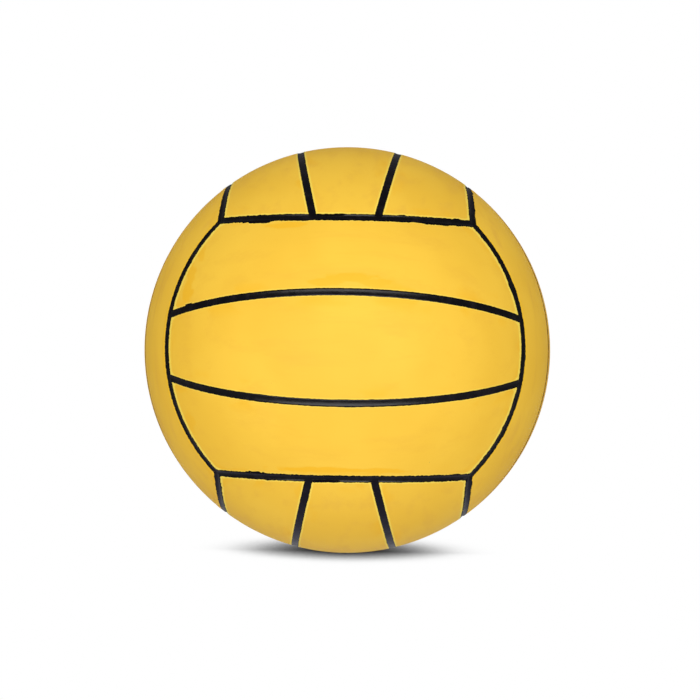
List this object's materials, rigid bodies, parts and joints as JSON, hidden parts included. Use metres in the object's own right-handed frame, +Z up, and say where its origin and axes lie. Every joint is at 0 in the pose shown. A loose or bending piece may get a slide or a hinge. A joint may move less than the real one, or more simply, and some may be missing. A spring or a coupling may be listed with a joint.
{
  "type": "water polo ball",
  "caption": "Inflated rubber ball for water polo: yellow grip panels parted by black channel seams over a wound bladder, with a needle valve at the back.",
  "frame": {"origin": "centre of the ball", "axes": "+Z up, -Y towards the middle of the front side, +Y along the valve's axis and out of its needle hole, X along the front side's panels"},
  "size_m": [0.22, 0.2199, 0.22],
  "materials": {
    "cover_rubber": "satin",
    "seam_rubber": "satin",
    "carcass_rubber": "matte",
    "wound_nylon": "matte",
    "bladder_rubber": "satin",
    "valve_rubber": "satin",
    "plug_rubber": "satin"
  },
  "bodies": {
    "root": {"bladder": "bladder_rubber", "nylon_winding": "wound_nylon", "carcass": "carcass_rubber", "valve_housing": "valve_rubber", "valve_plug": "plug_rubber", "front_lower_panel": "cover_rubber", "front_middle_panel": "cover_rubber", "front_upper_panel": "cover_rubber", "back_lower_panel": "cover_rubber", "back_middle_panel": "cover_rubber", "back_upper_panel": "cover_rubber", "bottom_left_panel": "cover_rubber", "bottom_middle_panel": "cover_rubber", "bottom_right_panel": "cover_rubber", "top_left_panel": "cover_rubber", "top_middle_panel": "cover_rubber", "top_right_panel": "cover_rubber", "left_front_panel": "cover_rubber", "left_middle_panel": "cover_rubber", "left_back_panel": "cover_rubber", "right_front_panel": "cover_rubber", "right_middle_panel": "cover_rubber", "right_back_panel": "cover_rubber", "front_bottom_border": "seam_rubber", "front_top_border": "seam_rubber", "back_bottom_border": "seam_rubber", "back_top_border": "seam_rubber", "bottom_left_border": "seam_rubber", "bottom_right_border": "seam_rubber", "top_left_border": "seam_rubber", "top_right_border": "seam_rubber", "left_front_border": "seam_rubber", "left_back_border": "seam_rubber", "right_front_border": "seam_rubber", "right_back_border": "seam_rubber", "front_lower_divider": "seam_rubber", "front_upper_divider": "seam_rubber", "back_lower_divider": "seam_rubber", "back_upper_divider": "seam_rubber", "bottom_left_divider": "seam_rubber", "bottom_right_divider": "seam_rubber", "top_left_divider": "seam_rubber", "top_right_divider": "seam_rubber", "left_front_divider": "seam_rubber", "left_back_divider": "seam_rubber", "right_front_divider": "seam_rubber", "right_back_divider": "seam_rubber"}
  },
  "joints": []
}
